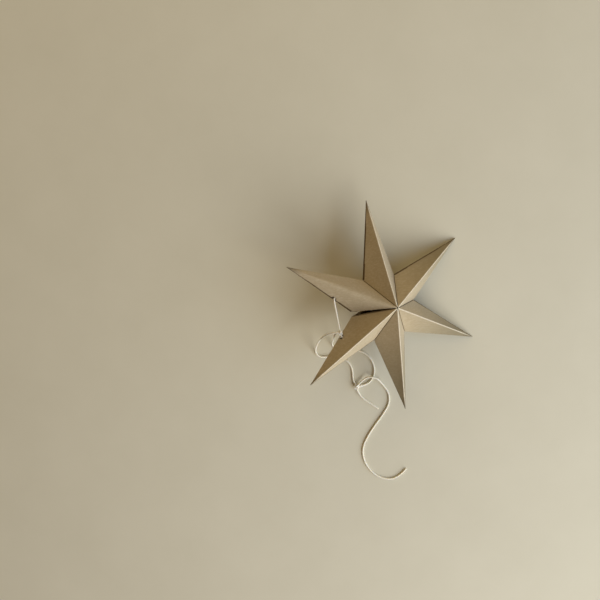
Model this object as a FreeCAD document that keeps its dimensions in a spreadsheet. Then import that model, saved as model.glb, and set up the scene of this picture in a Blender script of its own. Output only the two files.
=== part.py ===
import FreeCAD, Part
import math
import os

import Sketcher
from FreeCAD import Placement, Rotation, Vector

# Six-pointed star of folded card, opened round like a fan and tied with a cord.
# It lies as it comes to rest, on the back ridges of two neighbouring points, with the tie gap raised.
# Origin: on the surface it lies on, under the middle of the card. +X: the way it leans. +Z: up.

doc = FreeCAD.newDocument("folded_star")

# Driving dimensions, in millimetres and degrees
DRIVING_SIZES = [
    ("point_count", 6, "points in the star"),
    ("tie_gap", 7.2, "angle left open between the first and the last point"),
    ("point_length", 75.0, "axis of the star to the end of a point"),
    ("valley_radius", 24.4, "axis of the star to a valley corner of the outline"),
    ("half_height", 24.2, "middle plane to the end of a ridge at the axis"),
    ("card_thickness", 0.4, "thickness of the card"),
    ("tip_half_height", 0.3, "half of the height of a point at its blunt end"),
    ("seam_flap_width", 6.0, "width of the glued flaps along the valley folds"),
    ("seam_flap_mitre", 5.0, "distance from the axis at which a seam flap has its full width"),
    ("seam_flap_end", 4.0, "height above the middle plane at which a seam flap starts to narrow"),
    ("apex_skin", 1.2, "depth of card left over the inside at the axis"),
    ("corner_slit", 1.0, "height of the slit left between the flaps at a valley corner"),
    ("corner_slit_reach", 0.8, "reach of that slit, each way from the valley corner"),
    ("apex_hole", 1.5, "diameter of the opening where the ridges meet"),
    ("closure_flap_width", 7.0, "width of the flap that closes a point, inside its outline edge"),
    ("closure_start", 32.0, "axis of the star to the near end of the closure flap"),
    ("closure_finish", 50.0, "axis of the star to the far end of the closure flap"),
    ("cord_hole", 2.8, "diameter of the punched cord hole"),
    ("cord_hole_inset", 2.2, "outline edge to the middle of the cord hole, on the card"),
    ("cord_hole_distance", 16.0, "valley corner to the cord hole, along the outline edge"),
    ("cord_diameter", 1.2, "diameter of the cord"),
    ("cord_standoff", 1.4, "height of the tie cord over the card, outside its hole"),
    ("stopper_depth", 4.0, "depth of a stopper knot behind its hole"),
    ("stopper_knot_size", 3.6, "diameter of a stopper knot"),
    ("tie_knot_size", 3.8, "diameter of the tie knot"),
    ("tie_knot_offset", 2.6, "distance of the tie knot from the bend of the tie cord"),
    ("tie_knot_sag", 0.2, "how far the tie knot hangs under the straight line between the two bends"),
    ("taut_start", 3.0, "distance from the far bend at which the tie cord runs straight"),
    ("loop_knot_size", 4.6, "diameter of the knot that closes the hanging loop"),
    ("knot_squash", 0.85, "height of a knot as a share of its diameter"),
    ("knot_bevel", 0.35, "bevel of a knot's rim as a share of its radius"),
    ("arc_share", 0.45, "share of a cord's run that the arc at its corner takes"),
    ("cutting_clearance", 5.0, "how far a cutting outline stands past the card"),
]

# Sizes that follow from them, as formulas
WORKED_SIZES = [
    ("pitch", "(360 - sizes.tie_gap) / sizes.point_count"),
    ("valley_x", "sizes.valley_radius * cos(pitch / 2)"),
    ("valley_y", "sizes.valley_radius * sin(pitch / 2)"),
    ("taper", "(1 - sizes.tip_half_height / sizes.half_height) / sizes.point_length"),
    ("base_half_width", "valley_y / (1 - taper * valley_x)"),
    ("tip_half_width", "base_half_width * sizes.tip_half_height / sizes.half_height"),
    ("facet_slant", "sqrt(taper ^ 2 + 1 / base_half_width ^ 2 + 1 / sizes.half_height ^ 2)"),
    ("facet_rise", "1 / sizes.half_height / facet_slant"),
    ("inner_share", "1 - sizes.card_thickness * facet_slant"),
    ("inner_half_height", "sizes.half_height * inner_share"),
    ("inner_half_width", "base_half_width * inner_share"),
    ("inner_end_share", "sizes.card_thickness / sizes.half_height / inner_share"),
    ("inner_end", "inner_share * (1 - inner_end_share) / taper"),
    ("inner_end_half_width", "inner_half_width * inner_end_share"),
    ("doubled_share", "inner_share - sizes.card_thickness * facet_slant"),
    ("far_x", "sizes.point_length + sizes.cutting_clearance"),
    ("far_width", "base_half_width * (1 - taper * far_x)"),
    ("inner_far_width", "base_half_width * (inner_share - taper * far_x)"),
    ("side_y", "2 * base_half_width + sizes.cutting_clearance"),
    ("wall_setback", "sizes.card_thickness / sin(pitch / 2)"),
    ("inner_valley_x", "(inner_half_width + wall_setback * tan(pitch / 2))"
                       " / (tan(pitch / 2) + base_half_width * taper)"),
    ("inner_valley_y", "(inner_valley_x - wall_setback) * tan(pitch / 2)"),
    ("flap_depth", "sizes.closure_flap_width * sizes.half_height"
                   " / sqrt(sizes.half_height ^ 2 + base_half_width ^ 2)"),
    ("flap_start_inside", "base_half_width * (doubled_share - taper * sizes.closure_start)"),
    ("flap_finish_inside", "base_half_width * (doubled_share - taper * sizes.closure_finish)"),
    ("flap_start_outside", "base_half_width * (1 - taper * sizes.closure_start)"),
    ("flap_finish_outside", "base_half_width * (1 - taper * sizes.closure_finish)"),
    ("flap_drop", "sizes.seam_flap_width * sqrt(sizes.valley_radius ^ 2 + sizes.half_height ^ 2)"
                  " / sizes.valley_radius"),
    ("window_top", "sizes.half_height - sizes.apex_skin"),
    ("window_mitre_z", "sizes.half_height - flap_drop"
                       " - sizes.half_height / valley_x * sizes.seam_flap_mitre"),
    ("window_end_x", "(sizes.half_height - flap_drop - sizes.seam_flap_end) * valley_x / sizes.half_height"),
    ("slit_half", "sizes.corner_slit / 2"),
    ("slit_inner_x", "valley_x - sizes.corner_slit_reach"),
    ("slit_outer_x", "valley_x + sizes.corner_slit_reach"),
    ("edge_angle", "atan((valley_y - tip_half_width) / (sizes.point_length - valley_x))"),
    ("hole_x", "valley_x + sizes.cord_hole_distance * cos(edge_angle)"
               " - sizes.cord_hole_inset * facet_rise * sin(edge_angle)"),
    ("hole_y", "valley_y - sizes.cord_hole_distance * sin(edge_angle)"
               " - sizes.cord_hole_inset * facet_rise * cos(edge_angle)"),
    ("hole_z", "sizes.half_height * (1 - taper * hole_x - hole_y / base_half_width)"),
    ("hole_narrow", "sizes.cord_hole * facet_rise"),
    ("rest_tilt", "atan((sizes.half_height - sizes.tip_half_height)"
                  " / (sizes.point_length * cos(pitch / 2)))"),
    ("rest_lift", "sizes.half_height * cos(rest_tilt)"),
    ("rest_shift", "-cos(rest_tilt) * sizes.point_length"
                   " * (cos(pitch / 2) + cos((sizes.point_count - 1) * pitch / 2)) / 2"),
]

# A knot's bevelled outline: its radius, the radius inside the bevel, and the two heights
for knot_kind in ("stopper_knot", "tie_knot", "loop_knot"):
    WORKED_SIZES += [
        (f"{knot_kind}_radius", f"sizes.{knot_kind}_size / 2"),
        (f"{knot_kind}_rim", f"{knot_kind}_radius * (1 - sizes.knot_bevel)"),
        (f"{knot_kind}_top", f"{knot_kind}_radius * sizes.knot_squash"),
        (f"{knot_kind}_shoulder", f"{knot_kind}_top * (1 - sizes.knot_bevel)"),
    ]


def fill_sheet(name, rows):
    """One sheet with an alias in column B for each row of (alias, content) or (alias, content, note)."""
    sheet = doc.addObject("Spreadsheet::Sheet", name)
    for number, row in enumerate(rows, start=1):
        sheet.set(f"A{number}", row[2] if len(row) > 2 else row[0])
        sheet.setAlias(f"B{number}", row[0])
        sheet.set(f"B{number}", str(row[1]))
    doc.recompute()
    return sheet


sizes = fill_sheet("sizes", DRIVING_SIZES)
worked = fill_sheet("worked", [(alias, "=" + formula) for alias, formula in WORKED_SIZES])
DRIVING_NAMES = {row[0] for row in DRIVING_SIZES}


def holder(alias):
    """The sheet that an alias belongs to."""
    return sizes if alias in DRIVING_NAMES else worked


def value(alias):
    """The number that an alias of either sheet stands for."""
    cell = getattr(holder(alias), alias)
    return float(getattr(cell, "Value", cell))


def bound(alias):
    """The expression for an alias of either sheet."""
    return f"{holder(alias).Name}.{alias}"


def flipped(term):
    """The same size on the other side of an axis."""
    return term[1:] if term.startswith("-") else "-" + term


def signed(term):
    """Number and expression of a coordinate, which is an alias, an alias with a minus, or 0."""
    if term == "0":
        return 0.0, None
    if term.startswith("-"):
        return -value(term[1:]), "-" + bound(term[1:])
    return value(term), bound(term)


def turned(axis, angle, base="0; 0; 0"):
    """Expression of a placement: a turn by an angle about an axis, then a move to a base."""
    turn = f"create(<<rotation>>; create(<<vector>>; {axis}); {angle})"
    return f"create(<<placement>>; create(<<vector>>; {base}); {turn})"


STAR_PLACE = turned("0; 1; 0", bound("rest_tilt"), f"{bound('rest_shift')}; 0; {bound('rest_lift')}")


# Sketches and features of a body

def flat_sketch(body, name, role):
    """An empty sketch on one of the body's origin planes."""
    plane = next(item for item in body.Origin.OriginFeatures if item.Role == role)
    sketch = body.newObject("Sketcher::SketchObject", name)
    sketch.AttachmentSupport = [(plane, "")]
    sketch.MapMode = "FlatFace"
    return sketch


def polygon_sketch(body, name, role, corners):
    """A closed polygon whose corners are held by named sizes."""
    sketch = flat_sketch(body, name, role)
    spots = [Vector(signed(across)[0], signed(up)[0], 0) for across, up in corners]
    count = len(spots)
    for index in range(count):
        sketch.addGeometry(Part.LineSegment(spots[index], spots[(index + 1) % count]), False)
    for index in range(count):
        sketch.addConstraint(Sketcher.Constraint("Coincident", index, 2, (index + 1) % count, 1))
    for index, corner in enumerate(corners):
        for kind, axis, term in (("DistanceX", -2, corner[0]), ("DistanceY", -1, corner[1])):
            number, expression = signed(term)
            if expression is None:
                sketch.addConstraint(Sketcher.Constraint("PointOnObject", index, 1, axis))
            else:
                place = sketch.addConstraint(Sketcher.Constraint(kind, -1, 1, index, 1, number))
                sketch.setExpression(f"Constraints[{place}]", expression)
    return sketch


def plan_pad(body, corners, half_height):
    """A block over the plan of a point, as high above the middle plane as below it."""
    feature = body.newObject("PartDesign::Pad", "block")
    feature.Profile = polygon_sketch(body, "plan", "XY_Plane", corners)
    feature.Midplane = True
    feature.setExpression("Length", "2 * " + bound(half_height))
    doc.recompute()
    return feature


def slanted_cut(body, name, corners, side, up, height):
    """A pocket from the middle plane up or down, leaning in along a facet of the point."""
    feature = body.newObject("PartDesign::Pocket", name)
    feature.Profile = polygon_sketch(body, name + "_plan", "XY_Plane", corners)
    feature.UseCustomVector = True
    feature.AlongSketchNormal = True
    feature.Direction = Vector(0, -side * value("base_half_width"), up * value("half_height"))
    feature.setExpression("Direction.y", f"{-side} * {bound('base_half_width')}")
    feature.setExpression("Direction.z", f"{up} * {bound('half_height')}")
    feature.setExpression("Length", bound(height))
    doc.recompute()
    return feature


def cut_facets(body, near_width, far_width):
    """Slants a block down to its four facets, which lean in from its outline to the two ridges."""
    outside = [("0", near_width), ("far_x", far_width), ("far_x", "side_y"), ("0", "side_y")]
    for side, where in ((1, "left"), (-1, "right")):
        corners = outside if side > 0 else [(across, flipped(over)) for across, over in outside]
        slanted_cut(body, f"front_{where}_facet", corners, side, 1, "half_height")
        slanted_cut(body, f"back_{where}_facet", corners, side, -1, "half_height")


def cut_through(body, name, sketch):
    """A pocket through everything, both ways from its sketch."""
    feature = body.newObject("PartDesign::Pocket", name)
    feature.Profile = sketch
    feature.Midplane = True
    feature.Type = "Length"
    feature.setExpression("Length", "4 * " + bound("point_length"))
    doc.recompute()
    return feature


def flap_window(body):
    """Cuts the walls on the valley planes back to their seam flaps, and leaves the slits at the corners."""
    upper = [
        ("-cutting_clearance", "window_top"), ("0", "window_top"), ("seam_flap_mitre", "window_mitre_z"),
        ("window_end_x", "seam_flap_end"), ("slit_inner_x", "slit_half"), ("slit_outer_x", "slit_half"),
    ]
    lower = [(across, flipped(up)) for across, up in reversed(upper)]
    return cut_through(body, "flap_window", polygon_sketch(body, "flap_outline", "XZ_Plane", upper + lower))


def apex_opening(body):
    """The opening on the axis, where the ridge ends don't quite meet."""
    sketch = flat_sketch(body, "apex_circle", "XY_Plane")
    sketch.addGeometry(Part.Circle(Vector(0, 0, 0), Vector(0, 0, 1), value("apex_hole") / 2), False)
    sketch.addConstraint(Sketcher.Constraint("Coincident", 0, 3, -1, 1))
    place = sketch.addConstraint(Sketcher.Constraint("Diameter", 0, value("apex_hole")))
    sketch.setExpression(f"Constraints[{place}]", bound("apex_hole"))
    return cut_through(body, "apex_opening", sketch)


def punched_hole(body, side):
    """The cord hole through both layers at an outline edge; it is round on the slanted card."""
    sketch = flat_sketch(body, "hole_outline", "XY_Plane")
    middle = Vector(value("hole_x"), side * value("hole_y"), 0)
    angle = -side * math.radians(value("edge_angle"))
    along = Vector(math.cos(angle), math.sin(angle), 0)
    across = Vector(-along.y, along.x, 0)
    long_end = middle + along * (value("cord_hole") / 2)
    short_end = middle + across * (value("hole_narrow") / 2)
    sketch.addGeometry(Part.Ellipse(long_end, short_end, middle), False)
    sketch.exposeInternalGeometry(0)
    sign = "" if side > 0 else "-"
    axis_line = sketch.Geometry[1]
    reach = axis_line.EndPoint - axis_line.StartPoint
    heading = math.atan2(reach.y, reach.x)
    slope = ("-" if side > 0 else "") + bound("edge_angle") + (" + 180 deg" if reach.x < 0 else "")
    limits = [
        (Sketcher.Constraint("DistanceX", -1, 1, 0, 3, middle.x), bound("hole_x")),
        (Sketcher.Constraint("DistanceY", -1, 1, 0, 3, middle.y), sign + bound("hole_y")),
        (Sketcher.Constraint("Distance", 1, value("cord_hole")), bound("cord_hole")),
        (Sketcher.Constraint("Distance", 2, value("hole_narrow")), bound("hole_narrow")),
        (Sketcher.Constraint("Angle", 1, heading), slope),
    ]
    for limit, expression in limits:
        place = sketch.addConstraint(limit)
        sketch.setExpression(f"Constraints[{place}]", expression)
    return cut_through(body, "cord_hole", sketch)


# Card points

def hollow_body(number):
    """The inside of a point, stepped in where the closure flap doubles the card."""
    hollow = doc.addObject("PartDesign::Body", f"hollow_{number}")
    plan_pad(hollow, [
        ("wall_setback", "0"), ("inner_valley_x", "-inner_valley_y"), ("inner_end", "-inner_end_half_width"),
        ("inner_end", "inner_end_half_width"), ("inner_valley_x", "inner_valley_y")], "inner_half_height")
    cut_facets(hollow, "inner_half_width", "inner_far_width")
    flap_corners = [
        ("closure_start", "flap_start_inside"), ("closure_finish", "flap_finish_inside"),
        ("closure_finish", "flap_finish_outside"), ("closure_start", "flap_start_outside"),
    ]
    slanted_cut(hollow, "closure_flap", flap_corners, 1, -1, "flap_depth")
    return hollow


def star_point(number, hole_side):
    """One folded card point in its own frame, ridge along +X, then turned to its place in the star."""
    hollow = hollow_body(number)
    body = doc.addObject("PartDesign::Body", f"point_{number}")
    body.Label = f"point_{number}"
    plan_pad(body, [
        ("0", "0"), ("valley_x", "-valley_y"), ("point_length", "-tip_half_width"),
        ("point_length", "tip_half_width"), ("valley_x", "valley_y")], "half_height")
    cut_facets(body, "base_half_width", "far_width")
    emptied = body.newObject("PartDesign::Boolean", "emptied")
    emptied.setObjects([hollow])
    emptied.Type = "Cut"
    doc.recompute()
    flap_window(body)
    apex_opening(body)
    if hole_side:
        punched_hole(body, hole_side)
    turn = f"({number} - ({bound('point_count')} + 1) / 2) * {bound('pitch')}"
    body.setExpression("Placement", f"{STAR_PLACE} * {turned('0; 0; 1', turn)}")
    doc.recompute()
    return body


last = int(value("point_count"))
hole_sides = {1: -1, last: 1}
points = [star_point(number, hole_sides.get(number, 0)) for number in range(1, last + 1)]


# Cords and knots

CORD_SIDES = 8


def hole_frame(point, side):
    """Middle of a point's cord hole on its front face, and the direction out of the card there."""
    middle = point.Placement.multVec(Vector(value("hole_x"), side * value("hole_y"), value("hole_z")))
    slants = Vector(value("taper"), side / value("base_half_width"), 1 / value("half_height"))
    outward = point.Placement.Rotation.multVec(slants / value("facet_slant"))
    return middle, outward


def rounded_path(name, stops):
    """Straight runs joined by tangent arcs, each arc as large as its two runs allow."""
    edges = []
    radii = []
    start = stops[0]
    for before, corner, after in zip(stops, stops[1:], stops[2:]):
        back = (before - corner).normalize()
        onward = (after - corner).normalize()
        shorter = min(before.distanceToPoint(corner), after.distanceToPoint(corner))
        half_turn = (math.pi - back.getAngle(onward)) / 2
        reach = value("arc_share") * shorter
        radius = reach / math.tan(half_turn)
        radii.append(radius)
        arc_start = corner + back * reach
        arc_end = corner + onward * reach
        to_centre = (back + onward).normalize()
        middle = corner + to_centre * (radius / math.cos(half_turn) - radius)
        edges.append(Part.LineSegment(start, arc_start).toShape())
        edges.append(Part.Arc(arc_start, middle, arc_end).toShape())
        start = arc_end
    edges.append(Part.LineSegment(start, stops[-1]).toShape())
    path = Part.Wire(edges)
    print(f"{name}: length {path.Length:.1f}, arc radii {[round(radius, 1) for radius in radii]}")
    return path


def cord_section(start, along):
    """The outline of the cord's section, square to its first run, with flat sides above and below."""
    radius = value("cord_diameter") / 2
    sideways = along.cross(Vector(0, 0, 1)).normalize()
    rise = sideways.cross(along).normalize()
    corners = []
    for number in range(CORD_SIDES + 1):
        angle = 2 * math.pi * (number + 0.5) / CORD_SIDES
        corners.append(start + sideways * (radius * math.cos(angle)) + rise * (radius * math.sin(angle)))
    return Part.makePolygon(corners)


def cord(name, stops):
    """One stretch of the cord as a tube along its route."""
    path = rounded_path(name, stops)
    section = cord_section(stops[0], stops[1] - stops[0])
    tube = path.makePipeShell([section], True, False)
    swept = Part.Face(section).Area * path.Length
    print(f"{name}: volume {tube.Volume:.2f}, section times length {swept:.2f}")
    feature = doc.addObject("Part::Feature", name)
    feature.Label = name
    feature.Shape = tube
    feature.Placement = Placement()
    return feature


def knot(name, kind, middle, cords):
    """A knot as a bevelled round block, with the bores that the cords fill."""
    body = doc.addObject("PartDesign::Body", name + "_block")
    outline = [
        ("0", f"-{kind}_top"), (f"{kind}_rim", f"-{kind}_top"), (f"{kind}_radius", f"-{kind}_shoulder"),
        (f"{kind}_radius", f"{kind}_shoulder"), (f"{kind}_rim", f"{kind}_top"), ("0", f"{kind}_top"),
    ]
    turned_block = body.newObject("PartDesign::Revolution", "turned_block")
    turned_block.Profile = polygon_sketch(body, "outline", "XZ_Plane", outline)
    turned_block.ReferenceAxis = (turned_block.Profile[0], ["V_Axis"])
    turned_block.Angle = 360
    body.Placement = Placement(middle, Rotation())
    feature = body
    for number, piece in enumerate(cords, start=1):
        bored = doc.addObject("Part::Cut", f"{name}_bored_{number}")
        bored.Base = feature
        bored.Tool = piece
        feature = bored
    feature.Label = name
    return feature


def on_floor(x, y):
    """A stop of a cord that lies on the surface."""
    return Vector(x, y, value("cord_diameter") / 2)


hole_1, out_1 = hole_frame(points[0], -1)
hole_6, out_6 = hole_frame(points[-1], 1)
bend_1 = hole_1 + out_1 * value("cord_standoff")
bend_6 = hole_6 + out_6 * value("cord_standoff")
stopper_1 = hole_1 - out_1 * value("stopper_depth")
stopper_6 = hole_6 - out_6 * value("stopper_depth")
across_gap = (bend_6 - bend_1).normalize()
taut_end = bend_6 - across_gap * value("taut_start")
tie_middle = bend_1 + across_gap * value("tie_knot_offset") - Vector(0, 0, value("tie_knot_sag"))
tie_cord = cord("tie_cord", [stopper_6, bend_6, taut_end, tie_middle, bend_1, stopper_1])
loop_middle = Vector(-30.4, -58.0, value("loop_knot_top"))

# Where each strand leaves the tie knot, beside the tie cord
front_exit = Vector(-1.1, 0.3, 0.7)
back_exit = Vector(-1.0, 0.5, -0.9)

# Stops of the hanging strands and tails, chosen along the way the cord lies
front_strand = cord("front_strand", [
    tie_middle + front_exit,
    Vector(-39.0, -9.2, 37.6), Vector(-44.7, -11.0, 30.9), Vector(-49.2, -14.9, 19.3),
    Vector(-52.7, -19.9, 8.7), Vector(-55.4, -25.0, 2.0), on_floor(-54.7, -29.8), on_floor(-49.4, -31.8),
    on_floor(-43.1, -31.6), on_floor(-36.7, -34.0), on_floor(-32.2, -39.2), on_floor(-30.8, -45.9),
    on_floor(-32.3, -51.7), Vector(-30.8, -56.8, 1.5),
])
back_strand = cord("back_strand", [
    tie_middle + back_exit,
    Vector(-36.6, -10.3, 33.4), Vector(-38.3, -13.1, 25.6), Vector(-39.3, -16.1, 16.4),
    Vector(-40.6, -19.3, 7.2), Vector(-42.3, -22.7, 1.6), on_floor(-40.9, -27.3), on_floor(-35.7, -29.7),
    on_floor(-29.0, -29.7), on_floor(-21.7, -31.9), on_floor(-15.9, -38.3), on_floor(-14.3, -47.0),
    on_floor(-16.9, -54.3), on_floor(-22.8, -58.0), Vector(-29.2, -58.2, 1.7),
])
long_tail = cord("long_tail", [
    Vector(-29.6, -57.2, 2.1),
    Vector(-25.4, -54.1, 1.4), Vector(-20.7, -51.6, 3.5), Vector(-14.4, -53.4, 3.5),
    on_floor(-10.7, -60.1), on_floor(-7.5, -67.3), on_floor(-8.7, -75.4), on_floor(-15.0, -82.6),
    on_floor(-22.4, -89.7), on_floor(-29.5, -97.3), on_floor(-35.2, -105.9), on_floor(-35.6, -115.9),
    on_floor(-31.4, -125.6), on_floor(-22.7, -132.4), on_floor(-12.6, -132.9), on_floor(-5.5, -126.9),
])
short_tail = cord("short_tail", [
    Vector(-30.6, -59.2, 1.6),
    on_floor(-29.5, -64.5), on_floor(-26.0, -69.3), on_floor(-21.6, -73.1), on_floor(-17.4, -77.7),
])

knots = [
    knot("stopper_knot_1", "stopper_knot", stopper_1, [tie_cord]),
    knot("stopper_knot_6", "stopper_knot", stopper_6, [tie_cord]),
    knot("tie_knot", "tie_knot", tie_middle, [tie_cord, front_strand, back_strand]),
    knot("loop_knot", "loop_knot", loop_middle, [front_strand, back_strand, long_tail, short_tail]),
]
parts = points + [tie_cord, front_strand, back_strand, long_tail, short_tail] + knots

doc.recompute()
failed = [item.Name for item in doc.Objects if {"Invalid", "Error"} & set(item.State)]
if failed:
    raise SystemExit(f"objects that failed: {failed}")
for part in parts:
    if part.Shape.isNull() or not part.Shape.isValid():
        raise SystemExit(f"bad shape: {part.Label}")

os.makedirs("parts", exist_ok=True)
for part in parts:
    part.Shape.exportStep(f"parts/{part.Label}.step")
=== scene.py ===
import math

import bmesh
import bpy
from mathutils import Euler, Matrix, Vector, noise


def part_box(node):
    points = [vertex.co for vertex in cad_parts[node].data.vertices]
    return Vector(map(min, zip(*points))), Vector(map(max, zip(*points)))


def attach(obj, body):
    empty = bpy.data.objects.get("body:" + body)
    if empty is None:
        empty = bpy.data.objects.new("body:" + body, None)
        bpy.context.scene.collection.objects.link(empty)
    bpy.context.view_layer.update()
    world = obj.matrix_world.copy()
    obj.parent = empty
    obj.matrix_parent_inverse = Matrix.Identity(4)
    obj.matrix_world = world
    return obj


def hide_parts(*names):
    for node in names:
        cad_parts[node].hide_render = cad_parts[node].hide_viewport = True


# Six-pointed star of folded card with its tie cord and hanging loop, in metres
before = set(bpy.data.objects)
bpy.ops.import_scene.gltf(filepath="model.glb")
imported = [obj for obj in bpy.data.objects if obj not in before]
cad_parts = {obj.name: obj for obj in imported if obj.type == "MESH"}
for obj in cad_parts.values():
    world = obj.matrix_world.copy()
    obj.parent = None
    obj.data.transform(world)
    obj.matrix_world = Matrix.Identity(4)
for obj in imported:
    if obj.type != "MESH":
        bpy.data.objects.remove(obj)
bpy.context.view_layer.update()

# Sizes of the star, which the rest follow from
POINT_COUNT = 6
TIE_GAP = math.radians(7.2)
POINT_LENGTH = 0.075
VALLEY_RADIUS = 0.0244
HALF_HEIGHT = 0.0242
TIP_HALF_HEIGHT = 0.0003
CARD_THICKNESS = 0.0004
APEX_HOLE_RADIUS = 0.00075
SEAM_FLAP_WIDTH = 0.006
SEAM_FLAP_MITRE = 0.005
SEAM_FLAP_END = 0.004
APEX_SKIN = 0.0012
CORNER_SLIT = 0.001
CORNER_SLIT_REACH = 0.0008
CORD_HOLE_RADIUS = 0.0014
CORD_HOLE_INSET = 0.0022
CORD_HOLE_DISTANCE = 0.016
CORD_RADIUS = 0.0006

PITCH = (2 * math.pi - TIE_GAP) / POINT_COUNT
HALF_PITCH = PITCH / 2
VALLEY_X = VALLEY_RADIUS * math.cos(HALF_PITCH)
VALLEY_Y = VALLEY_RADIUS * math.sin(HALF_PITCH)
TAPER = (1 - TIP_HALF_HEIGHT / HALF_HEIGHT) / POINT_LENGTH
BASE_HALF_WIDTH = VALLEY_Y / (1 - TAPER * VALLEY_X)
REST_TILT = math.atan((HALF_HEIGHT - TIP_HALF_HEIGHT) / (POINT_LENGTH * math.cos(HALF_PITCH)))
REST_LIFT = HALF_HEIGHT * math.cos(REST_TILT)
REST_SHIFT = (-math.cos(REST_TILT) * POINT_LENGTH
              * (math.cos(HALF_PITCH) + math.cos((POINT_COUNT - 1) * HALF_PITCH)) / 2)
STAR_PLACE = Matrix.Translation((REST_SHIFT, 0, REST_LIFT)) @ Matrix.Rotation(REST_TILT, 4, "Y")


# Materials

def node_material(name):
    """A new node material, its node tree and its main shader."""
    material = bpy.data.materials.new(name)
    material.use_nodes = True
    return material, material.node_tree, material.node_tree.nodes["Principled BSDF"]


def add_node(tree, kind, settings=(), **inputs):
    """A node with settings and inputs. An input is a plain value or another node's output socket."""
    node = tree.nodes.new(kind)
    for key, content in dict(settings).items():
        setattr(node, key, content)
    for key, content in inputs.items():
        numbered = key[0] == "i" and key[1:].isdigit()
        socket = node.inputs[int(key[1:]) if numbered else key.replace("_", " ")]
        if isinstance(content, bpy.types.NodeSocket):
            tree.links.new(content, socket)
        else:
            socket.default_value = content
    return node


def noise_node(tree, where, scale, detail=4.0, roughness=0.6):
    """Soft noise over a position, from 0 to 1."""
    node = add_node(tree, "ShaderNodeTexNoise", Vector=where, Scale=scale, Detail=detail, Roughness=roughness)
    return node.outputs["Fac"]


def ramp(tree, content, low, high, start=0.0, end=1.0):
    """A straight change from start to end as content goes from low to high, held before and after."""
    node = add_node(tree, "ShaderNodeMapRange", i0=content, i1=low, i2=high, i3=start, i4=end)
    return node.outputs["Result"]


def product(tree, first, second):
    """One number times another."""
    return add_node(tree, "ShaderNodeMath", {"operation": "MULTIPLY"}, i0=first, i1=second).outputs[0]


def mixed(tree, share, first, second):
    """A share of the second colour mixed into the first."""
    node = add_node(tree, "ShaderNodeMix", {"data_type": "RGBA"}, i0=share)
    colour_inputs = [item for item in node.inputs if item.type == "RGBA"]
    for socket, content in zip(colour_inputs, (first, second)):
        if isinstance(content, bpy.types.NodeSocket):
            tree.links.new(content, socket)
        else:
            socket.default_value = (*content, 1)
    return [item for item in node.outputs if item.type == "RGBA"][0]


def stretched(tree, where, turn, stretch):
    """A position turned about Z and squeezed, so that noise over it runs in streaks."""
    node = add_node(tree, "ShaderNodeMapping", Vector=where)
    node.inputs["Rotation"].default_value = (0, 0, turn)
    node.inputs["Scale"].default_value = stretch
    return node.outputs["Vector"]


def attribute(tree, name):
    """A number that the mesh keeps at each of its vertices: a distance in metres, or a share."""
    return add_node(tree, "ShaderNodeAttribute", {"attribute_name": name}).outputs["Fac"]


KRAFT = (0.50, 0.42, 0.285)
KRAFT_DARK = (0.43, 0.35, 0.225)
KRAFT_PALE = (0.64, 0.57, 0.43)
KRAFT_FIBRE = (0.22, 0.155, 0.085)
# Painted shade, darkening three points towards their tips
KRAFT_PAINTED_SHADE = (0.225, 0.195, 0.120)
KRAFT_TIP_DARK = (0.130, 0.105, 0.060)
SEAM_SHADE = (0.085, 0.048, 0.018)
# Pale ridge colour: partly wear, partly painted highlight
WORN_AND_HIGHLIT_RIDGE = (0.84, 0.78, 0.64)

# Turn and squeeze of the noise that draws fine fibres and a coarser weave
FIBRE_RUNS = ((0.3, (240, 2600, 900)), (1.9, (300, 2900, 1000)))
WEAVE_RUNS = ((0.9, (330, 1000, 700)), (-0.8, (360, 1050, 800)))

# Distances between which the card's marks fade, in metres
PALE_RIDGE_REACH = (0.00035, 0.0008)
SEAM_LINE = (0.0003, 0.0008)
VALLEY_LINE = (0.0002, 0.0006)
TIP_DARKENING = (0.002, 0.011)
PALE_APEX_REACH = (0.001, 0.0028)
APEX_RIDGE = (0.0007, 0.0013)


def bare_card(tree, where):
    """The colour of clean brown card, with soft mottling, dark and pale fibres and a faint weave."""
    cloudy = ramp(tree, noise_node(tree, where, 55.0), 0.3, 0.7)
    colour = mixed(tree, cloudy, KRAFT_DARK, KRAFT)
    colour = mixed(tree, 0.5, colour, KRAFT)
    for turn, stretch in FIBRE_RUNS:
        streaks = noise_node(tree, stretched(tree, where, turn, stretch), 1.0, 3.0)
        colour = mixed(tree, ramp(tree, streaks, 0.62, 0.78, 0.0, 0.38), colour, KRAFT_FIBRE)
        colour = mixed(tree, ramp(tree, streaks, 0.36, 0.24, 0.0, 0.45), colour, KRAFT_PALE)
    for turn, stretch in WEAVE_RUNS:
        weave = noise_node(tree, stretched(tree, where, turn, stretch), 1.0, 2.0)
        colour = mixed(tree, ramp(tree, weave, 0.5, 0.75, 0.0, 0.34), colour, KRAFT_DARK)
        colour = mixed(tree, ramp(tree, weave, 0.5, 0.25, 0.0, 0.30), colour, KRAFT_PALE)
    return colour


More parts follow.
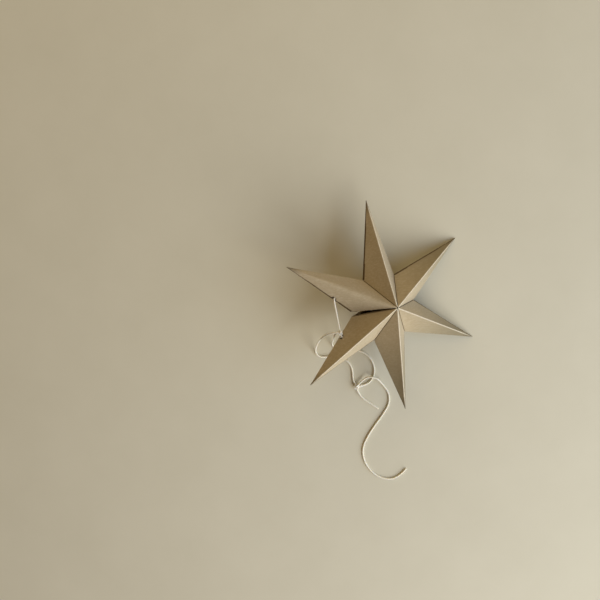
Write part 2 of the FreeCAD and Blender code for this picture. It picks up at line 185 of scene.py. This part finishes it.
def used_card(tree, colour, rubbed):
    """Card with painted shade: darker towards the tips of three points, and dark lines along its open glued
    edges and its valleys. Also darker towards every tip, and paler along its ridges and at the apex, partly
    wear and partly painted highlight.
    """
    ridge = attribute(tree, "ridge")
    # Painted shade, darker towards the tips of three points
    colour = mixed(tree, attribute(tree, "painted_shade"), colour, KRAFT_PAINTED_SHADE)
    # Pale ridge lines, partly wear and partly painted highlight
    worn_and_lit = product(tree, ramp(tree, ridge, *PALE_RIDGE_REACH, 1.0, 0.0), ramp(tree, rubbed, 0.25, 0.6, 0.6, 1.0))
    colour = mixed(tree, worn_and_lit, colour, WORN_AND_HIGHLIT_RIDGE)
    # Painted shade: dark lines along the open glued edges and along the valleys
    colour = mixed(tree, ramp(tree, attribute(tree, "seam"), *SEAM_LINE, 0.9, 0.0), colour, SEAM_SHADE)
    colour = mixed(tree, ramp(tree, attribute(tree, "valley"), *VALLEY_LINE, 0.85, 0.0), colour, SEAM_SHADE)
    # Darker towards every tip
    colour = mixed(tree, ramp(tree, attribute(tree, "tip"), *TIP_DARKENING, 0.75, 0.0), colour, KRAFT_TIP_DARK)
    # Paler ridge ends round the apex, partly wear and partly painted highlight
    near_apex = ramp(tree, attribute(tree, "apex"), *PALE_APEX_REACH, 0.9, 0.0)
    on_ridge = ramp(tree, ridge, *APEX_RIDGE, 1.0, 0.2)
    return mixed(tree, product(tree, near_apex, on_ridge), colour, WORN_AND_HIGHLIT_RIDGE)


def card_material():
    """Brown card with a matt, slightly grainy surface."""
    material, tree, shader = node_material("kraft_card")
    where = add_node(tree, "ShaderNodeTexCoord").outputs["Object"]
    rubbed = noise_node(tree, where, 900.0, 2.0)
    colour = used_card(tree, bare_card(tree, where), rubbed)
    tree.links.new(colour, shader.inputs["Base Color"])
    tree.links.new(ramp(tree, rubbed, 0.2, 0.8, 0.72, 0.9), shader.inputs["Roughness"])
    shader.inputs["Specular IOR Level"].default_value = 0.3
    shader.inputs["Sheen Weight"].default_value = 0.06
    grain = noise_node(tree, where, 2200.0, 3.0)
    bump = add_node(tree, "ShaderNodeBump", Strength=0.25, Distance=0.00006, Height=grain)
    tree.links.new(bump.outputs["Normal"], shader.inputs["Normal"])
    return material


CORD_WHITE = (0.96, 0.925, 0.83)
CORD_SHADE = (0.88, 0.83, 0.72)


def cord_material():
    """Natural white cotton, a little darker between its fibres."""
    material, tree, shader = node_material("cotton_cord")
    where = add_node(tree, "ShaderNodeTexCoord").outputs["Object"]
    fibres = noise_node(tree, where, 4200.0, 4.0)
    colour = mixed(tree, ramp(tree, fibres, 0.35, 0.7, 0.55, 0.0), CORD_WHITE, CORD_SHADE)
    tree.links.new(colour, shader.inputs["Base Color"])
    shader.inputs["Roughness"].default_value = 0.85
    shader.inputs["Sheen Weight"].default_value = 1.0
    shader.inputs["Sheen Roughness"].default_value = 0.5
    shader.inputs["Subsurface Weight"].default_value = 0.5
    shader.inputs["Subsurface Radius"].default_value = (1.0, 0.9, 0.75)
    shader.inputs["Subsurface Scale"].default_value = 0.0006
    bump = add_node(tree, "ShaderNodeBump", Strength=0.4, Distance=0.00008, Height=fibres)
    tree.links.new(bump.outputs["Normal"], shader.inputs["Normal"])
    return material


FLOOR_TONES = ((0.675, 0.657, 0.546), (0.705, 0.687, 0.576))


def floor_material():
    """A plain pale surface."""
    material, tree, shader = node_material("pale_floor")
    where = add_node(tree, "ShaderNodeTexCoord").outputs["Object"]
    tone = ramp(tree, noise_node(tree, where, 18.0, 6.0), 0.3, 0.7)
    tree.links.new(mixed(tree, tone, *FLOOR_TONES), shader.inputs["Base Color"])
    shader.inputs["Roughness"].default_value = 0.8
    return material


card = card_material()
cotton = cord_material()


def piece_from(name, mesh, material, node):
    """An object that stands for one node of the star and rides with the star."""
    piece = bpy.data.objects.new(name, mesh)
    bpy.context.scene.collection.objects.link(piece)
    mesh.materials.append(material)
    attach(piece, "root")
    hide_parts(node)
    return piece


# Folded card points

# OPEN_EDGE is how far the upper facet stops short of its glued edge, over the closure flap
SEAM_GAP = 0.00004
RIDGE_CUT = 0.0009
SOFT_RIDGE_CUT = 0.0050
EDGE_CUT = 0.0006
OPEN_EDGE = 0.00075
OPEN_EDGE_NEAR = 0.0011
OPEN_EDGE_STEP = 0.032
OPEN_EDGE_END = 0.066
OPEN_EDGE_CLOSING = 0.012
CLOSURE_DEPTH = 0.00043
CLOSURE_WIDTH = 0.0065
FOLD_STEPS = 4
FACET_STEPS = 12
FLAP_STEPS = 4
EDGE_INDEX = 2 * FOLD_STEPS + FACET_STEPS
NEAR_ROWS = 26
FAR_ROWS = 54
ROW_CROWDING = 0.25
STEP_LENGTH = 0.0001
FACET_BOW = 0.00022
WAVES_PER_METRE = 45
# Painted shade on three points, growing towards their tips
PAINTED_SHADE_POINTS = {2: 0.70, 3: 0.75, 4: 0.65}
PAINTED_SHADE_START = 0.018
PAINTED_SHADE_END = 0.058
UNMARKED = 0.01


def half_height(x):
    """Height of a ridge over the middle plane, this far from the star's axis."""
    return HALF_HEIGHT * (1 - TAPER * x)


def half_width(x):
    """Half of a point's full width, this far from the star's axis."""
    return BASE_HALF_WIDTH * (1 - TAPER * x)


def flap_end(x):
    """Height at which a seam flap ends, this far from the star's axis."""
    drop = SEAM_FLAP_WIDTH * math.hypot(VALLEY_RADIUS, HALF_HEIGHT) / VALLEY_RADIUS
    slope = HALF_HEIGHT / VALLEY_X
    full_width = HALF_HEIGHT - drop - slope * SEAM_FLAP_MITRE
    narrowing_x = (HALF_HEIGHT - drop - SEAM_FLAP_END) / slope
    outline = [
        (0, HALF_HEIGHT - APEX_SKIN), (SEAM_FLAP_MITRE, full_width), (narrowing_x, SEAM_FLAP_END),
        (VALLEY_X - CORNER_SLIT_REACH, CORNER_SLIT / 2), (VALLEY_X, CORNER_SLIT / 2),
    ]
    for (low_x, low_z), (high_x, high_z) in zip(outline, outline[1:]):
        if x <= high_x:
            return low_z + (high_z - low_z) * (x - low_x) / (high_x - low_x)
    return CORNER_SLIT / 2


def fold(before, corner, after, cut, steps):
    """Points of a rounded fold, from the run before a corner to the run after it."""
    start = corner + (before - corner).normalized() * cut
    end = corner + (after - corner).normalized() * cut
    shares = [step / steps for step in range(steps + 1)]
    return [start * (1 - s) ** 2 + corner * 2 * s * (1 - s) + end * s ** 2 for s in shares]


def open_edge(x):
    """How far the upper facet stops short of its glued outline edge; it closes up before the tip."""
    if x < VALLEY_X or x > OPEN_EDGE_END:
        return 0.0
    short = OPEN_EDGE_NEAR if x < OPEN_EDGE_STEP else OPEN_EDGE
    return short * min(1.0, (OPEN_EDGE_END - x) / OPEN_EDGE_CLOSING + 0.1)


def quarter_row(x, glued, upper, ridge_cut):
    """One section of a quarter of a point, as (place, share of the facet), from its ridge outward."""
    ridge = Vector((x, 0, half_height(x)))
    short = open_edge(x) if glued else 0.0
    if x < VALLEY_X:
        seam_y = x * math.tan(HALF_PITCH) - SEAM_GAP
        edge = Vector((x, seam_y, half_height(x) * (1 - seam_y / half_width(x))))
        beyond = Vector((x, seam_y, flap_end(x)))
    else:
        edge = Vector((x, half_width(x), 0))
        beyond = Vector((x, 0, -half_height(x)))
    outward = (edge - ridge).normalized()
    across = (edge - ridge).length
    if short and not upper:
        facing = Vector((0, beyond.z, edge.y)).normalized()
        under = (beyond - edge).normalized()
        beyond = edge + under * short + facing * CLOSURE_DEPTH
        flap_tip = edge + under * min(CLOSURE_WIDTH, 0.6 * across) + facing * CLOSURE_DEPTH
    other_edge = Vector((x, -edge.y, edge.z))
    ridge_fold = fold(other_edge, ridge, edge, min(ridge_cut, 0.3 * across), 2 * FOLD_STEPS)
    edge_fold = fold(ridge, edge, beyond, min(EDGE_CUT, 0.3 * across), 2 * FOLD_STEPS)
    if short and upper:
        backs = [short + EDGE_CUT * (1 - step / FOLD_STEPS) for step in range(FOLD_STEPS + 1)]
        edge_fold = [edge - outward * back for back in backs]
    row = [(place, 0.0) for place in ridge_fold[FOLD_STEPS:]]
    start, end = ridge_fold[-1], edge_fold[0]
    for step in range(1, FACET_STEPS):
        share = (1 - math.cos(math.pi * step / FACET_STEPS)) / 2
        row.append((start.lerp(end, share), share))
    row += [(place, 1.0) for place in edge_fold[:FOLD_STEPS + 1]]
    if x < VALLEY_X or (short and not upper):
        last = beyond if x < VALLEY_X else flap_tip
        row += [(place, 1.0) for place in edge_fold[FOLD_STEPS + 1:]]
        for step in range(1, FLAP_STEPS + 1):
            row.append((edge_fold[-1].lerp(last, step / FLAP_STEPS), 1.0))
    return row


def row_places():
    """Distances from the axis of a point's rows, with a close pair where the raw edge steps and ends."""
    first = APEX_HOLE_RADIUS * math.cos(HALF_PITCH)
    last_near = VALLEY_X - CORNER_SLIT_REACH
    near = [first + (last_near - first) * step / NEAR_ROWS for step in range(NEAR_ROWS + 1)]
    far = [place + move for place in (OPEN_EDGE_STEP, OPEN_EDGE_END) for move in (-STEP_LENGTH, STEP_LENGTH)]
    for step in range(FAR_ROWS + 1):
        share = step / FAR_ROWS
        along = (1 + ROW_CROWDING) * share - ROW_CROWDING * share ** 2
        far.append(VALLEY_X + (POINT_LENGTH - VALLEY_X) * along)
    return near + sorted(far)


def bowed(place, share, side, up, seed):
    """A place on a facet moved by the facet's slight bow and waviness, which fade out at its folds."""
    outward = Vector((TAPER, side / BASE_HALF_WIDTH, up / HALF_HEIGHT)).normalized()
    along = min(1.0, place.x / POINT_LENGTH)
    fade = math.sin(math.pi * share) * math.sin(math.pi * min(1.0, along * 1.05) ** 0.8)
    flat = Vector((place.x, place.y * side)) * WAVES_PER_METRE
    wave = noise.noise(Vector((flat.x, flat.y, seed + 7.3 * side + 3.1 * up)))
    return place + outward * fade * (wave * 1.6 - 0.8) * FACET_BOW


def painted_shade_share(number, x):
    """How much painted shade darkens the card of a point, this far from the star's axis."""
    along = (x - PAINTED_SHADE_START) / (PAINTED_SHADE_END - PAINTED_SHADE_START)
    return PAINTED_SHADE_POINTS.get(number, 0.0) * min(1.0, max(0.0, along))


MARKS = ("ridge", "valley", "seam", "tip", "apex", "painted_shade")


def marks_at(number, x, glued, upper, index, from_ridge, from_edge):
    """What the card's material reads at one place of a point, with the names in MARKS."""
    soft_ridge = number == POINT_COUNT and upper
    ridge = UNMARKED if soft_ridge else from_ridge
    valley = from_edge if x < VALLEY_X else UNMARKED
    seam = UNMARKED
    if x >= VALLEY_X and glued:
        seam = from_edge if index <= EDGE_INDEX else 0.0
    return ridge, valley, seam, POINT_LENGTH - x, x, painted_shade_share(number, x)


def quarter_grid(sheet, layers, number, side, up):
    """The marked vertices of a quarter of a point, row by row."""
    ridge_cut = SOFT_RIDGE_CUT if number == POINT_COUNT and up > 0 else RIDGE_CUT
    grid = []
    for x in row_places():
        row = quarter_row(x, side > 0, up > 0, ridge_cut)
        ridge_place = Vector((x, 0, half_height(x)))
        edge_place = row[EDGE_INDEX][0]
        line = []
        for index, (place, share) in enumerate(row):
            mirrored = Vector((place.x, place.y * side, place.z * up))
            vertex = sheet.verts.new(bowed(mirrored, share, side, up, number * 17.0))
            from_ridge = (place - ridge_place).length
            from_edge = (place - edge_place).length
            marks = marks_at(number, x, side > 0, up > 0, index, from_ridge, from_edge)
            for layer, mark in zip(layers, marks):
                vertex[layer] = mark
            line.append(vertex)
        grid.append((x, line))
    return grid


def point_sheet(number):
    """The folded sheet of one point, in its own frame with its ridges along +X."""
    sheet = bmesh.new()
    layers = [sheet.verts.layers.float.new(name) for name in MARKS]
    for side in (1, -1):
        for up in (1, -1):
            grid = quarter_grid(sheet, layers, number, side, up)
            for (x, line), (next_x, next_line) in zip(grid, grid[1:]):
                steps = min(len(line), len(next_line)) - 1
                if x < VALLEY_X <= next_x:
                    steps = EDGE_INDEX
                for step in range(steps):
                    corners = [line[step], line[step + 1], next_line[step + 1], next_line[step]]
                    sheet.faces.new(corners if side * up > 0 else corners[::-1])
    bmesh.ops.remove_doubles(sheet, verts=sheet.verts, dist=1e-7)
    sheet.normal_update()
    if sum((face.normal.z * face.calc_center_median().z for face in sheet.faces)) < 0:
        bmesh.ops.reverse_faces(sheet, faces=sheet.faces)
    for face in sheet.faces:
        face.smooth = True
    return sheet


def applied(piece):
    """Applies the piece's modifiers to its mesh."""
    depsgraph = bpy.context.evaluated_depsgraph_get()
    mesh = bpy.data.meshes.new_from_object(piece.evaluated_get(depsgraph))
    piece.modifiers.clear()
    piece.data = mesh
    return piece


HOLE_SEGMENTS = 40


def hole_cutter(side):
    """A round bar through the cord hole, in the frame of a point."""
    edge_angle = math.atan((VALLEY_Y - half_width(POINT_LENGTH)) / (POINT_LENGTH - VALLEY_X))
    slant = math.sqrt(TAPER ** 2 + 1 / BASE_HALF_WIDTH ** 2 + 1 / HALF_HEIGHT ** 2)
    rise = 1 / HALF_HEIGHT / slant
    inset = CORD_HOLE_INSET * rise
    hole_x = VALLEY_X + CORD_HOLE_DISTANCE * math.cos(edge_angle) - inset * math.sin(edge_angle)
    hole_y = VALLEY_Y - CORD_HOLE_DISTANCE * math.sin(edge_angle) - inset * math.cos(edge_angle)
    bar = bmesh.new()
    bmesh.ops.create_cone(bar, cap_ends=True, segments=HOLE_SEGMENTS, radius1=CORD_HOLE_RADIUS,
                          radius2=CORD_HOLE_RADIUS, depth=4 * HALF_HEIGHT)
    shape = Matrix.Translation((hole_x, side * hole_y, 0)) @ Matrix.Rotation(-side * edge_angle, 4, "Z")
    bar.transform(shape @ Matrix.Diagonal((1, rise, 1, 1)))
    mesh = bpy.data.meshes.new("hole_cutter")
    bar.to_mesh(mesh)
    cutter = bpy.data.objects.new("hole_cutter", mesh)
    bpy.context.scene.collection.objects.link(cutter)
    return cutter


def point_turn(number):
    """Angle of a point round the star's axis."""
    return (number - (POINT_COUNT + 1) / 2) * PITCH


def card_point(number):
    """One folded card point, in its place in the star."""
    sheet = point_sheet(number)
    mesh = bpy.data.meshes.new(f"card_point_{number}")
    sheet.to_mesh(mesh)
    piece = piece_from(f"card_point_{number}", mesh, card, f"point_{number}")
    thick = piece.modifiers.new("thickness", "SOLIDIFY")
    thick.thickness = CARD_THICKNESS
    thick.offset = -1
    hole_side = {1: -1, POINT_COUNT: 1}.get(number)
    cutter = None
    if hole_side:
        cutter = hole_cutter(hole_side)
        punch = piece.modifiers.new("cord_hole", "BOOLEAN")
        punch.operation = "DIFFERENCE"
        punch.solver = "EXACT"
        punch.object = cutter
    bpy.context.view_layer.update()
    applied(piece)
    if cutter:
        bpy.data.objects.remove(cutter)
    piece.data.transform(STAR_PLACE @ Matrix.Rotation(point_turn(number), 4, "Z"))
    return piece


for number in range(1, POINT_COUNT + 1):
    card_point(number)


# Cords

MM = 0.001


def in_metres(stops):
    """Route points given in millimetres."""
    return [Vector(stop) * MM for stop in stops]


def spline_line(stops, closed=False):
    """Points along the smooth line that a route's points steer."""
    data = bpy.data.curves.new("route", "CURVE")
    data.dimensions = "3D"
    data.resolution_u = 16
    spline = data.splines.new("NURBS")
    spline.points.add(len(stops) - 1)
    for point, stop in zip(spline.points, stops):
        point.co = (*stop, 1)
    spline.use_cyclic_u = closed
    spline.use_endpoint_u = not closed
    spline.order_u = 3
    route = bpy.data.objects.new("route", data)
    bpy.context.scene.collection.objects.link(route)
    bpy.context.view_layer.update()
    line_mesh = bpy.data.meshes.new_from_object(route)
    line = [vertex.co.copy() for vertex in line_mesh.vertices]
    bpy.data.objects.remove(route)
    bpy.data.meshes.remove(line_mesh)
    return line


def evenly(line, step, closed=False):
    """The same line cut into equal steps."""
    ring = line + [line[0]] if closed else line
    lengths = [0.0]
    for first, second in zip(ring, ring[1:]):
        lengths.append(lengths[-1] + (second - first).length)
    count = max(3, round(lengths[-1] / step))
    even = []
    index = 0
    for number in range(count if closed else count + 1):
        target = lengths[-1] * number / count
        while index < len(lengths) - 2 and lengths[index + 1] < target:
            index += 1
        share = (target - lengths[index]) / max(1e-12, lengths[index + 1] - lengths[index])
        even.append(ring[index].lerp(ring[index + 1], min(1.0, share)))
    return even


STRANDS = 3
TWIST_LENGTH = 0.0036
RING_STEPS = 18
LINE_STEP = 0.00022
GROOVE = 0.15
FRAY_LENGTH = 2.5 * CORD_RADIUS
FRAY_DEPTH = 1.2
ANY_SIDE = (0.31, 0.52, 0.79)


def twisted_mesh(name, line, closed=False, frayed=False):
    """A cord of twisted strands along a line: a tube with a groove between its strands."""
    tube = bmesh.new()
    count = len(line)
    rings = []
    side = Vector(ANY_SIDE)
    total = 0.0
    for number, centre in enumerate(line):
        after = line[(number + 1) % count] if closed or number < count - 1 else centre
        before = line[number - 1] if closed or number > 0 else centre
        along = (after - before).normalized()
        side = (side - along * side.dot(along)).normalized()
        up = along.cross(side)
        to_end = LINE_STEP * (count - 1 - number)
        groove = GROOVE
        if frayed and to_end < FRAY_LENGTH:
            groove = GROOVE * (1 + FRAY_DEPTH * (1 - to_end / FRAY_LENGTH))
        ring = []
        for step in range(RING_STEPS):
            angle = 2 * math.pi * step / RING_STEPS
            lobe = abs(math.sin(STRANDS / 2 * (angle - 2 * math.pi * total / TWIST_LENGTH)))
            reach = CORD_RADIUS * (1 - groove * (1 - lobe) ** 1.5)
            ring.append(tube.verts.new(centre + (side * math.cos(angle) + up * math.sin(angle)) * reach))
        rings.append(ring)
        total += LINE_STEP
    pairs = list(zip(rings, rings[1:]))
    if closed:
        pairs.append((rings[-1], rings[0]))
    for ring, next_ring in pairs:
        for step in range(RING_STEPS):
            following = (step + 1) % RING_STEPS
            tube.faces.new((ring[step], ring[following], next_ring[following], next_ring[step]))
    if not closed:
        tube.faces.new(rings[0][::-1])
        tube.faces.new(rings[-1])
    for face in tube.faces:
        face.smooth = True
    tube.normal_update()
    mesh = bpy.data.meshes.new(name)
    tube.to_mesh(mesh)
    return mesh


def cord_piece(name, stops, node, frayed=False):
    """A stretch of cord along its route, and the smooth line that it follows."""
    line = evenly(spline_line(stops), LINE_STEP)
    piece = piece_from(name, twisted_mesh(name, line, frayed=frayed), cotton, node)
    return piece, line


KNOT_STEPS = 24
TURN_SHRINK = 0.22
TURN_TIP = 0.35
TURN_TWIST = 1.1


def trefoil(reach, rise):
    """Route points of a cord drawn through its own loop, round the origin."""
    stops = []
    for step in range(KNOT_STEPS):
        angle = 2 * math.pi * step / KNOT_STEPS
        stops.append(Vector((
            (math.sin(angle) + 2 * math.sin(2 * angle)) / 3 * reach,
            (math.cos(angle) - 2 * math.cos(2 * angle)) / 3 * reach,
            -math.sin(3 * angle) * rise,
        )))
    return stops


def knot_piece(name, node, turns, lean):
    """A tight knot in the place of its node: one or two turns, each a smaller trefoil in the last."""
    low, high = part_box(node)
    centre = (low + high) / 2
    reach = (high - low).x / 2 - CORD_RADIUS
    rise = (high - low).z / 2 - CORD_RADIUS
    mesh = bpy.data.meshes.new(name)
    made = bmesh.new()
    for turn in range(turns):
        size = 1.0 - TURN_SHRINK * turn
        place = Euler((lean * (1 + turn), TURN_TIP * turn, TURN_TWIST * turn + lean)).to_matrix()
        stops = [centre + place @ stop for stop in trefoil(reach * size, rise * size)]
        line = evenly(spline_line(stops, closed=True), LINE_STEP, closed=True)
        part = twisted_mesh(name + "_turn", line, closed=True)
        made.from_mesh(part)
        bpy.data.meshes.remove(part)
    made.to_mesh(mesh)
    for polygon in mesh.polygons:
        polygon.use_smooth = True
    return piece_from(name, mesh, cotton, node)


tie_middle = sum(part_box("tie_knot"), Vector()) / 2
inner_1 = sum(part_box("stopper_knot_1"), Vector()) / 2
inner_6 = sum(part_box("stopper_knot_6"), Vector()) / 2

FLOOR = CORD_RADIUS / MM
FRONT_STRAND = in_metres([
    (-39.0, -9.2, 37.6), (-44.7, -11.0, 30.9), (-49.2, -14.9, 19.3), (-52.7, -19.9, 8.7),
    (-55.4, -25.0, 2.0), (-54.7, -29.8, FLOOR), (-49.4, -31.8, FLOOR), (-43.1, -31.6, FLOOR),
    (-36.7, -34.0, FLOOR), (-32.2, -39.2, FLOOR), (-30.8, -45.9, FLOOR), (-32.3, -51.7, FLOOR),
    (-30.8, -56.8, 1.5),
])
BACK_STRAND = in_metres([
    (-36.6, -10.3, 33.4), (-38.3, -13.1, 25.6), (-39.3, -16.1, 16.4), (-40.6, -19.3, 7.2),
    (-42.3, -22.7, 1.6), (-40.9, -27.3, FLOOR), (-35.7, -29.7, FLOOR), (-29.0, -29.7, FLOOR),
    (-21.7, -31.9, FLOOR), (-15.9, -38.3, FLOOR), (-14.3, -47.0, FLOOR), (-16.9, -54.3, FLOOR),
    (-22.8, -58.0, FLOOR), (-29.2, -58.2, 1.7),
])
LONG_TAIL = in_metres([
    (-29.6, -57.2, 2.1), (-25.4, -54.1, 1.4), (-20.7, -51.6, 3.5), (-14.4, -53.4, 3.5),
    (-10.7, -60.1, FLOOR), (-7.5, -67.3, FLOOR), (-8.7, -75.4, FLOOR), (-15.0, -82.6, FLOOR),
    (-22.4, -89.7, FLOOR), (-29.5, -97.3, FLOOR), (-35.2, -105.9, FLOOR), (-35.6, -115.9, FLOOR),
    (-31.4, -125.6, FLOOR), (-22.7, -132.4, FLOOR), (-12.6, -132.9, FLOOR), (-5.5, -126.9, FLOOR),
])
SHORT_TAIL = in_metres([
    (-30.6, -59.2, 1.6), (-29.5, -64.5, FLOOR), (-26.0, -69.3, FLOOR), (-21.6, -73.1, FLOOR),
    (-17.4, -77.7, FLOOR),
])


TIE_STANDOFF = 0.0014
STOPPER_DEPTH = 0.004
TAUT_START = 0.003


def facet_outward(number, side):
    """Direction away from an upper facet of a point, with the star in its place."""
    facing = Vector((TAPER, side / BASE_HALF_WIDTH, 1 / HALF_HEIGHT)).normalized()
    return STAR_PLACE.to_3x3() @ Matrix.Rotation(point_turn(number), 3, "Z") @ facing


bend_1 = inner_1 + facet_outward(1, -1) * (STOPPER_DEPTH + TIE_STANDOFF)
bend_6 = inner_6 + facet_outward(POINT_COUNT, 1) * (STOPPER_DEPTH + TIE_STANDOFF)

tie_knot = knot_piece("tie_knot_turns", "tie_knot", 2, 0.5)
stopper_1 = knot_piece("stopper_1_turns", "stopper_knot_1", 1, 0.2)
stopper_6 = knot_piece("stopper_6_turns", "stopper_knot_6", 1, 0.8)
loop_knot = knot_piece("loop_knot_turns", "loop_knot", 2, 0.1)

taut_end = bend_6 - (bend_6 - bend_1).normalized() * TAUT_START
TIE_CORD = [inner_6, bend_6, taut_end, tie_middle, bend_1, inner_1]
tie_cord, tie_line = cord_piece("tie_cord_twist", TIE_CORD, "tie_cord")
front_start = tie_middle + Vector((-1.1, 0.3, 0.7)) * MM
back_start = tie_middle + Vector((-1.0, 0.5, -0.9)) * MM
front_strand, front_line = cord_piece("front_strand_twist", [front_start, *FRONT_STRAND], "front_strand")
back_strand, back_line = cord_piece("back_strand_twist", [back_start, *BACK_STRAND], "back_strand")
long_tail, long_line = cord_piece("long_tail_twist", LONG_TAIL, "long_tail", frayed=True)
short_tail, short_line = cord_piece("short_tail_twist", SHORT_TAIL, "short_tail", frayed=True)


# Floor, light and camera

FLOOR_REACH = 0.55
LIGHT_DISTANCE = 1.3
CAMERA_PLACE = (-0.02370, 0.04972, 0.44433)
CAMERA_TURN = (-5.395, 3.590, -11.322)


def plain_floor():
    """A wide pale surface that the star lies on."""
    mesh = bpy.data.meshes.new("floor")
    signs = ((-1, -1), (1, -1), (1, 1), (-1, 1))
    mesh.from_pydata([(x * FLOOR_REACH, y * FLOOR_REACH, 0) for x, y in signs], [], [(0, 1, 2, 3)])
    mesh.materials.append(floor_material())
    surface = bpy.data.objects.new("floor", mesh)
    bpy.context.scene.collection.objects.link(surface)


def soft_light(name, azimuth, elevation, size, power, colour):
    """A square light that faces the star."""
    data = bpy.data.lights.new(name, "AREA")
    data.size = size
    data.energy = power
    data.color = colour
    lamp = bpy.data.objects.new(name, data)
    bpy.context.scene.collection.objects.link(lamp)
    turn = math.radians(azimuth)
    rise = math.radians(elevation)
    level = math.cos(rise)
    lamp.location = Vector((math.cos(turn) * level, math.sin(turn) * level, math.sin(rise))) * LIGHT_DISTANCE
    lamp.rotation_euler = (-lamp.location).to_track_quat("-Z", "Y").to_euler()


def surroundings(colour, strength, backdrop):
    """Even light from all round, which the camera sees as a plain pale backdrop."""
    world = bpy.data.worlds.new("surroundings")
    world.use_nodes = True
    tree = world.node_tree
    light = tree.nodes["Background"]
    light.inputs["Color"].default_value = (*colour, 1)
    light.inputs["Strength"].default_value = strength
    seen = add_node(tree, "ShaderNodeBackground", Color=(*backdrop, 1), Strength=1.0)
    path = add_node(tree, "ShaderNodeLightPath")
    choice = add_node(tree, "ShaderNodeMixShader", i0=path.outputs["Is Camera Ray"], i1=light.outputs[0],
                      i2=seen.outputs[0])
    tree.links.new(choice.outputs[0], tree.nodes["World Output"].inputs["Surface"])
    bpy.context.scene.world = world


def photo_camera():
    """The camera of the photograph: nearly straight above, with the star right of the middle."""
    data = bpy.data.cameras.new("camera")
    data.sensor_width = 36
    data.lens = 36
    data.clip_start = 0.01
    camera = bpy.data.objects.new("camera", data)
    camera.location = CAMERA_PLACE
    camera.rotation_euler = [math.radians(angle) for angle in CAMERA_TURN]
    bpy.context.scene.collection.objects.link(camera)
    bpy.context.scene.camera = camera


plain_floor()
soft_light("window_light", azimuth=-60, elevation=28, size=1.0, power=15.9, colour=(1.0, 0.965, 0.890))
soft_light("sky_light", azimuth=-15, elevation=28, size=1.0, power=8.0, colour=(0.610, 0.780, 1.0))
soft_light("room_light", azimuth=90, elevation=32, size=1.5, power=7.0, colour=(1.0, 0.80, 0.46))
surroundings(colour=(1.0, 0.60, 0.28), strength=0.11, backdrop=(0.52, 0.49, 0.38))
photo_camera()
bpy.context.scene.view_settings.view_transform = "Standard"
